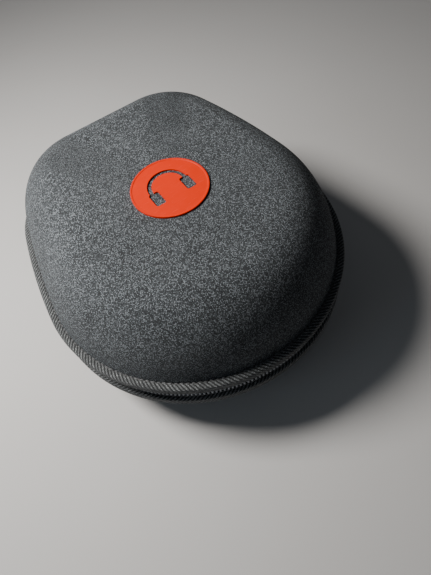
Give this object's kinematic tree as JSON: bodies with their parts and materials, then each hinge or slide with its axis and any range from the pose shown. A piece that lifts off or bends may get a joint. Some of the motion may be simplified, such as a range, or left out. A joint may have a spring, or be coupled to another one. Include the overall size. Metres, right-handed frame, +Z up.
{
  "type": "headphone case",
  "caption": "Zipped hard-shell carrying case for folding headphones, charcoal knit over moulded foam, round red emblem, fabric spine hinge",
  "frame": {"origin": "centre of the case's footprint, on the surface that the case lies on", "axes": "+X to the side where the zip slider is parked, +Y to the fabric spine, -Y to the round nose, +Z up to the lid"},
  "size_m": [0.1624, 0.185, 0.089],
  "materials": {
    "knit_cover": "fine plain knit laminated to foam, matt with a grey sheen",
    "moulded_foam": "compression-moulded foam, matt, hidden between its skins",
    "brushed_lining": "brushed tricot, soft nap",
    "woven_binding": "narrow twill tape",
    "zip_tape": "tight plain-weave zip tape",
    "zip_coil": "nylon coil, semi-gloss",
    "zip_stop": "moulded nylon",
    "emblem_red": "red enamel-like plastic, smooth",
    "mesh_net": "open hexagonal net",
    "elastic_band": "ribbed elastic tape",
    "slider_metal": "black lacquered zinc, worn at its edges",
    "grip_rubber": "moulded soft grip, matt"
  },
  "bodies": {
    "base": {"base_cover": "knit_cover", "base_foam_shell": "moulded_foam", "base_lining": "brushed_lining", "base_binding": "woven_binding", "base_zip_tape": "zip_tape", "base_zip_coil": "zip_coil", "base_zip_stops": "zip_stop", "spine_cover": "knit_cover", "spine_lining": "brushed_lining"},
    "lid": {"lid_cover": "knit_cover", "lid_foam_shell": "moulded_foam", "lid_lining": "brushed_lining", "lid_binding": "woven_binding", "lid_zip_tape": "zip_tape", "lid_zip_coil": "zip_coil", "lid_zip_stops": "zip_stop", "emblem": "emblem_red", "pocket_mesh": "mesh_net", "pocket_elastic": "elastic_band"},
    "slider": {"slider_body": "slider_metal", "slider_bail": "slider_metal"},
    "pull": {"pull_tab": "slider_metal", "pull_grip": "grip_rubber"}
  },
  "joints": [
    {"name": "lid_hinge", "type": "hinge", "parent": "base", "child": "lid", "pos_m": [0, 0.09254, 0.04], "axis": [-1, 0, 0], "range_deg": [0, 165], "deforming": ["spine_cover", "spine_lining"]},
    {"name": "zip_travel", "type": "hinge", "parent": "base", "child": "slider", "pos_m": [0.023, 0.04254, 0.04], "axis": [0, 0, -1], "range_deg": [-1.5, 33]},
    {"name": "pull_swing", "type": "hinge", "parent": "slider", "child": "pull", "pos_m": [0.05398, 0.08518, 0.04], "axis": [0, 0, 1], "range_deg": [0, 110]}
  ]
}
